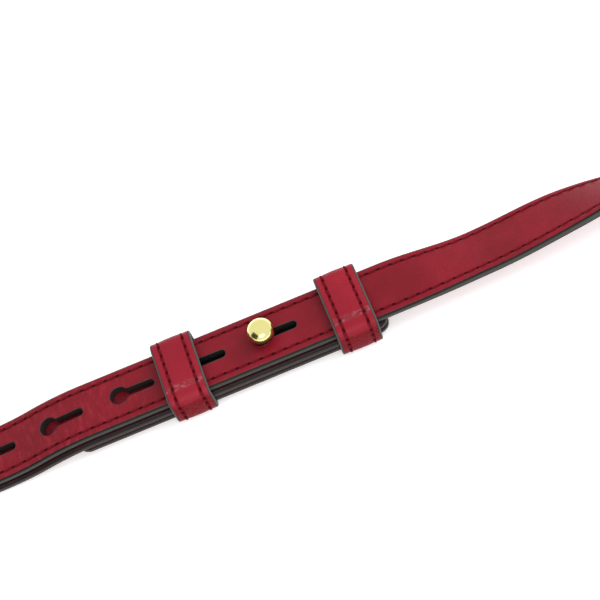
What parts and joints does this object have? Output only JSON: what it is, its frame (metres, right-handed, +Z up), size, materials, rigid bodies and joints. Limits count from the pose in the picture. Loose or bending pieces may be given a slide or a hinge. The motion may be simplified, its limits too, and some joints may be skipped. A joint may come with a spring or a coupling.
{
  "type": "guitar strap",
  "caption": "Adjustable leather guitar strap: keyholed long strap hooked over a ball stud on the tail strap, two sliding keepers, stitched edges, spare length coiled on its edge.",
  "frame": {"origin": "axis of the tail strap's button hole, on the surface that the strap lies on", "axes": "+X along the strap from the tail's button hole towards the stud and the coil, +Z up out of the strap's face"},
  "size_m": [0.459, 0.0853, 0.0204],
  "materials": {
    "red_leather": "fine grain, satin",
    "keeper_leather": "fine grain, satin",
    "red_thread": "waxed thread",
    "stud_brass": "polished"
  },
  "bodies": {
    "straps": {"long_strap_face": "red_leather", "long_strap_lining": "red_leather", "long_strap_thread_near": "red_thread", "long_strap_thread_far": "red_thread", "stored_length": "red_leather", "tail_strap_face": "red_leather", "tail_strap_lining": "red_leather", "tail_strap_thread_near": "red_thread", "tail_strap_thread_far": "red_thread", "backing_patch": "red_leather", "stud_ball": "stud_brass", "stud_screw": "stud_brass"},
    "left_keeper": {"keeper_left": "keeper_leather", "keeper_left_thread_a": "red_thread", "keeper_left_thread_b": "red_thread"},
    "right_keeper": {"keeper_right": "keeper_leather", "keeper_right_thread_a": "red_thread", "keeper_right_thread_b": "red_thread"}
  },
  "joints": [
    {"name": "keeper_left_slide", "type": "slide", "parent": "straps", "child": "left_keeper", "axis": [1, 0, 0], "range_m": [-0.025, 0.0167]},
    {"name": "keeper_right_slide", "type": "slide", "parent": "straps", "child": "right_keeper", "axis": [1, 0, 0], "range_m": [-0.0167, 0.0046]}
  ]
}
